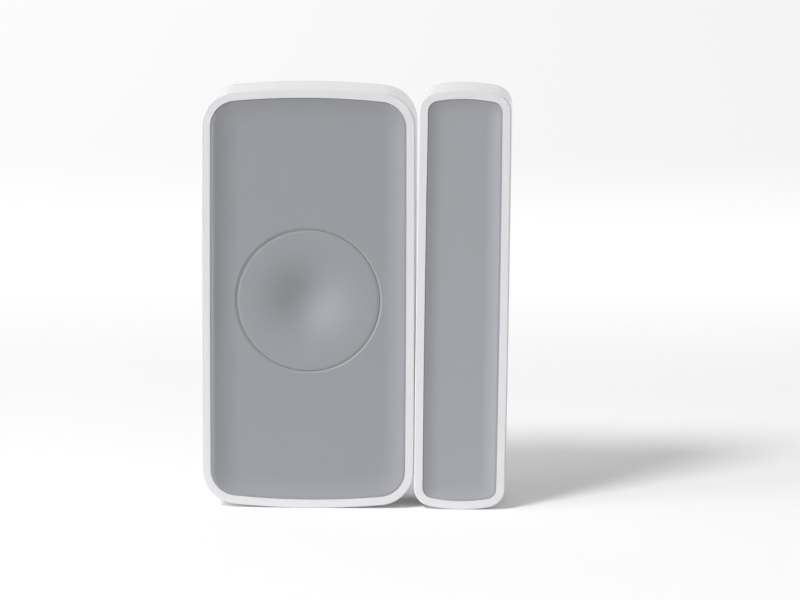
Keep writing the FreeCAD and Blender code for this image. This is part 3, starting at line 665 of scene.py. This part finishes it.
def split_by_angle(obj):
    """Shades a mesh smooth, with flats that stay flat: each corner takes the area-weighted turn of the
    faces round its point that lie within the crease angle of its own face."""
    mesh = obj.data
    around = [[] for _ in mesh.vertices]
    for face in mesh.polygons:
        face.use_smooth = True
        for point in face.vertices:
            around[point].append((face.normal.copy(), face.area))
    least = math.cos(crease_angle)
    normals = []
    for face in mesh.polygons:
        for loop in face.loop_indices:
            total = Vector((0, 0, 0))
            for normal, area in around[mesh.loops[loop].vertex_index]:
                if normal.dot(face.normal) >= least:
                    total += normal * area
            normals.append(total.normalized() if total.length > 0 else face.normal)
    mesh.normals_split_custom_set(normals)
    return obj


def smooth_copy(name, node):
    """Copy of a solid's mesh with its doubled points merged, so that rounds look round and flats flat."""
    shape = bmesh.new()
    shape.from_mesh(frame["nodes"][node].data)
    bmesh.ops.remove_doubles(shape, verts=shape.verts, dist=weld_distance)
    mesh = bpy.data.meshes.new(name)
    shape.to_mesh(mesh)
    shape.free()
    obj = bpy.data.objects.new(name, mesh)
    bpy.context.scene.collection.objects.link(obj)
    return split_by_angle(obj)


def sensor_panel():
    """Wide grey panel with the button's opening and four pegs."""
    face = panel("sensor_face", sensor, tray_width, tray_depth, with_opening=True)
    places = [(x, z) for x in (-sensor_peg_x, sensor_peg_x) for z in (-peg_rise, peg_rise)]
    return with_pegs(face, sensor, places)


def magnet_panel():
    """Narrow grey panel with two pegs."""
    face = panel("magnet_face", magnet, magnet_tray_width, magnet_tray_depth, with_opening=False)
    return with_pegs(face, magnet, [(0, -peg_rise), (0, peg_rise)])


# Pieces, each by the node that it stands for
pieces = {
    "sensor_front_panel": sensor_panel(),
    "magnet_front_panel": magnet_panel(),
    "button_cap": button(),
}
for node in frame["nodes"]:
    if node not in pieces:
        pieces[node] = smooth_copy(node + "_smooth", node)

node_slots = {row["node"]: row["material_slot"] for row in frame["record"]["subparts"]}
node_bodies = {}
for body, nodes in frame["record"]["behaviour"]["bodies"].items():
    for node in nodes:
        node_bodies[node] = body
for node, piece in pieces.items():
    dress(piece, slot_materials[node_slots[node]])
    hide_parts(node)
    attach(piece, node_bodies[node])

# Floor and backdrop. Places along X and Y are in metres from the object, and a strength of 1 is white.
paper_fibre = 1.1 * mm
paper_colours = ("#f4f4f4", "#f6f6f6")
# Painted shade: the light that the paper throws back is darker in front of the object, as if less fell
# there
painted_shade_front = "#6a6a6a"
painted_shade_front_y = (-0.24, -0.12)
overexposure = "#767676"
veil = 0.085
backdrop_start_y = (0.1, 0.28)
backdrop_near = 1.02
# Painted shade: far back the backdrop's glow is dimmer, and dimmer at the right than at the left
backdrop_far_left = 0.975
backdrop_far_right = 0.9
backdrop_far_y = (0.3, 0.5)
backdrop_far_x = (-0.2, 0.15)


def seen_rays(tree):
    """One for the rays that show the white background: the camera's, reflected and passed through."""
    rays = put(tree, "ShaderNodeLightPath").outputs
    either = put(tree, "ShaderNodeMath", {
        0: rays["Is Camera Ray"], 1: rays["Is Glossy Ray"]}, operation="MAXIMUM")
    return put(tree, "ShaderNodeMath", {
        0: either, 1: rays["Is Transmission Ray"]}, operation="MAXIMUM")


def white_paper():
    """White paper, rolled smooth: matt, with fibres of 1.1 mm that show only close up. The camera sees it
    a little overexposed, as in a product photograph, with the object's shadow left in, and farther back
    a white glow that dims, most at the right, as painted shade. The light that it throws back at the
    object is that of plain paper, darkened in front of the object as painted shade."""
    material, tree = empty_material("white_paper_sweep")
    place = put(tree, "ShaderNodeTexCoord").outputs["Object"]
    axes = put(tree, "ShaderNodeSeparateXYZ", {"Vector": place}).outputs
    fibre = put(tree, "ShaderNodeTexNoise", {"Vector": place, "Scale": 1 / paper_fibre, "Detail": 2.0})
    tint = put(tree, "ShaderNodeMix", {
        0: fibre, 6: linear(paper_colours[0]), 7: linear(paper_colours[1])}, data_type="RGBA").outputs[2]

    # What throws light back at the object: the paper, darkened in front of the object as painted shade
    front_painted_shade_mask = put(tree, "ShaderNodeMapRange", {
        "Value": axes["Y"], "From Min": painted_shade_front_y[0], "From Max": painted_shade_front_y[1]},
        interpolation_type="SMOOTHSTEP")
    bounce_with_painted_shade = put(tree, "ShaderNodeMix", {
        0: front_painted_shade_mask, 6: linear(painted_shade_front), 7: tint}, data_type="RGBA").outputs[2]
    bounce = put(tree, "ShaderNodeBsdfDiffuse", {"Color": bounce_with_painted_shade})

    # What the camera and the reflections see near the object
    paper = put(tree, "ShaderNodeBsdfDiffuse", {"Color": tint})
    extra = put(tree, "ShaderNodeBsdfDiffuse", {"Color": linear(overexposure)})
    glow = put(tree, "ShaderNodeEmission", {"Color": linear("#ffffff"), "Strength": veil})
    brighter = put(tree, "ShaderNodeAddShader", {0: paper, 1: extra})
    near = put(tree, "ShaderNodeAddShader", {0: brighter, 1: glow})

    # What the camera and the reflections see farther back: a white glow that dims, most at the right, as
    # painted shade
    far_painted_shade_level = put(tree, "ShaderNodeMapRange", {
        "Value": axes["X"], "From Min": backdrop_far_x[0], "From Max": backdrop_far_x[1],
        "To Min": backdrop_far_left, "To Max": backdrop_far_right}, interpolation_type="SMOOTHSTEP")
    farness = put(tree, "ShaderNodeMapRange", {
        "Value": axes["Y"], "From Min": backdrop_far_y[0], "From Max": backdrop_far_y[1]},
        interpolation_type="SMOOTHSTEP")
    level = put(tree, "ShaderNodeMix", {0: farness, 2: backdrop_near, 3: far_painted_shade_level})
    backdrop = put(tree, "ShaderNodeEmission", {"Color": linear("#ffffff"), "Strength": level})
    behind = put(tree, "ShaderNodeMapRange", {
        "Value": axes["Y"], "From Min": backdrop_start_y[0], "From Max": backdrop_start_y[1]},
        interpolation_type="SMOOTHSTEP")
    bright = put(tree, "ShaderNodeMixShader", {0: behind, 1: near, 2: backdrop})

    surface = put(tree, "ShaderNodeMixShader", {0: seen_rays(tree), 1: bounce, 2: bright})
    put(tree, "ShaderNodeOutputMaterial", {"Surface": surface})
    return material


# Sweep of paper, in metres
sweep_half_width = 1.6
sweep_front_y = -1.4
sweep_bend_y = 0.9
sweep_bend = 0.5
sweep_bend_steps = 16
sweep_height = 1.5


def sweep():
    """Flat floor that bends up into a backdrop far behind the object."""
    profile = [(sweep_front_y, 0.0), (sweep_bend_y, 0.0)]
    for i in range(1, sweep_bend_steps + 1):
        turn = math.pi / 2 * i / sweep_bend_steps
        profile.append((sweep_bend_y + sweep_bend * math.sin(turn), sweep_bend * (1 - math.cos(turn))))
    profile.append((sweep_bend_y + sweep_bend, sweep_height))
    points = []
    for y, z in profile:
        points += [(-sweep_half_width, y, z), (sweep_half_width, y, z)]
    faces = [(2 * i, 2 * i + 1, 2 * i + 3, 2 * i + 2) for i in range(len(profile) - 1)]
    obj = mesh_object("sweep", points, faces)
    dress(obj, white_paper())
    for face in obj.data.polygons:
        face.use_smooth = True


sweep()

# Camera, fitted to the edges in the photograph: a long lens, nine degrees up and two round to the right
camera_distance = 0.92
camera_elevation = math.radians(8.95)
camera_turn = math.radians(2.38)
camera_roll = math.radians(0.14)
image_width = 800
image_height = 600
pixels_per_metre = 5619
aim_pixel_x = 356.05
aim_pixel_y = 294.33
target = Vector((0, 0, 37.5 * mm))

camera_data = bpy.data.cameras.new("camera")
camera_data.sensor_width = 36.0
camera_data.lens = camera_data.sensor_width * pixels_per_metre * camera_distance / image_width
camera_data.shift_x = (image_width / 2 - aim_pixel_x) / image_width
camera_data.shift_y = (aim_pixel_y - image_height / 2) / image_width
camera_data.clip_start = 0.01
camera_data.clip_end = 20
camera = bpy.data.objects.new("camera", camera_data)
bpy.context.scene.collection.objects.link(camera)
facing = Euler((math.pi / 2 - camera_elevation, 0, camera_turn)).to_matrix()
away = facing @ Vector((0, 0, 1))
tipped = facing @ Matrix.Rotation(camera_roll, 3, "Z")
camera.matrix_world = Matrix.Translation(target + away * camera_distance) @ tipped.to_4x4()
bpy.context.scene.camera = camera


def lamp(name, place, size, power):
    """Round soft lamp that faces the middle of the object. Its size is in metres, its power in watts."""
    data = bpy.data.lights.new(name, "AREA")
    data.shape = "DISK"
    data.size = size
    data.energy = power
    obj = bpy.data.objects.new(name, data)
    turn = (Vector(place) - target).to_track_quat("Z", "Y").to_matrix()
    obj.matrix_world = Matrix.Translation(place) @ turn.to_4x4()
    bpy.context.scene.collection.objects.link(obj)


lamp("key_high_left", place=(-0.64, -0.82, 1.12), size=0.42, power=12.3)
lamp("side_left", place=(-1.62, -0.66, 0.27), size=0.9, power=17.2)

# World: soft light from all round, and plain white for the rays that show the background
soft_light = 0.31
world = bpy.data.worlds.new("studio")
bpy.context.scene.world = world
world.use_nodes = True
sky = world.node_tree
sky.nodes.clear()
soft = put(sky, "ShaderNodeBackground", {"Color": linear("#ffffff"), "Strength": soft_light})
white = put(sky, "ShaderNodeBackground", {"Color": linear("#ffffff"), "Strength": 1.0})
mixed = put(sky, "ShaderNodeMixShader", {0: seen_rays(sky), 1: soft, 2: white})
put(sky, "ShaderNodeOutputWorld", {"Surface": mixed})

bpy.context.scene.view_settings.view_transform = "Standard"
